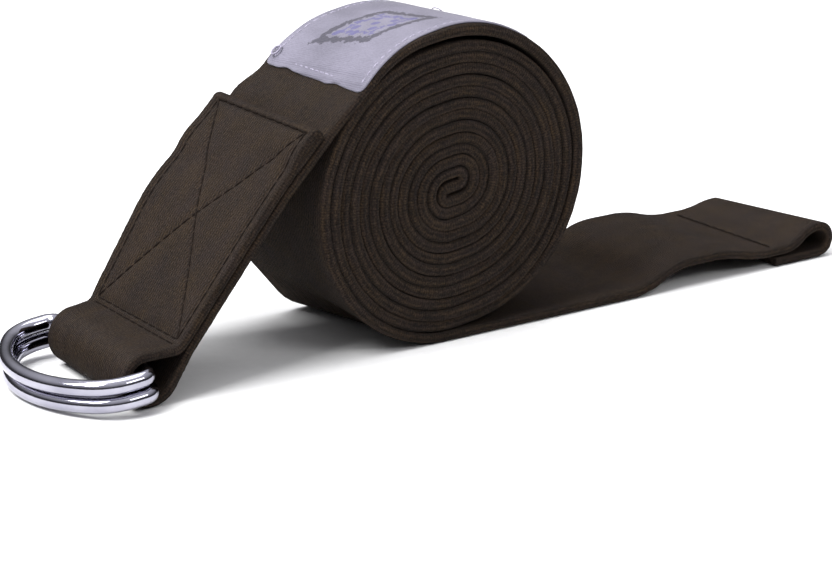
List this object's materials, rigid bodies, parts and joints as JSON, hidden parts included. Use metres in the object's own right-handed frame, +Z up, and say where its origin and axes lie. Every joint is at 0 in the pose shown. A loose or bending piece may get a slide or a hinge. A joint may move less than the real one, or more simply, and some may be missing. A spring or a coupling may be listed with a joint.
{
  "type": "stretching strap",
  "caption": "Woven cotton stretching strap, rolled up from its middle, with two D-rings sewn into one end, a loose hemmed tail and a sewn-on woven label.",
  "frame": {"origin": "on the floor, straight below the centre of the roll, midway across the webbing; the underside of the webbing there lies on the floor", "axes": "+X along the floor to the free end of the strap, +Y across the webbing (the axis the strap is rolled about), +Z up; the D-rings are at -X"},
  "size_m": [0.2009, 0.0464, 0.069],
  "materials": {
    "webbing": "dark brown plain-woven cotton with beaded edges",
    "label": "off-white satin label",
    "ring_wire": "polished nickel plated steel wire",
    "sewing_thread": "matching brown sewing thread",
    "label_seam": "grey sewing thread"
  },
  "bodies": {
    "roll": {"webbing_roll": "webbing", "webbing_base": "webbing", "label": "label", "label_thread": "label_seam", "label_loop_thread": "label_seam"},
    "ring_end": {"webbing_ring_end": "webbing", "box_x_thread": "sewing_thread", "ring_side_thread": "sewing_thread"},
    "tail": {"webbing_tail": "webbing", "hem_thread": "sewing_thread"},
    "upper_ring": {"d_ring_upper": "ring_wire"},
    "lower_ring": {"d_ring_lower": "ring_wire"}
  },
  "joints": [
    {"name": "ring_end_lift", "type": "hinge", "parent": "roll", "child": "ring_end", "pos_m": [-0.02236, 0, 0.05864], "axis": [0, 1, 0], "range_deg": [0, 60]},
    {"name": "tail_lift", "type": "hinge", "parent": "roll", "child": "tail", "pos_m": [0.024, 0, 0.00095], "axis": [0, -1, 0], "range_deg": [0, 55]},
    {"name": "upper_ring_swing", "type": "hinge", "parent": "ring_end", "child": "upper_ring", "pos_m": [-0.0751, 0, 0.00765], "axis": [0.0698, 0.9976, 0], "range_deg": [0, 115]},
    {"name": "lower_ring_swing", "type": "hinge", "parent": "ring_end", "child": "lower_ring", "pos_m": [-0.0743, 0, 0.0039], "axis": [0.0698, 0.9976, 0], "range_deg": [-100, 0]}
  ]
}
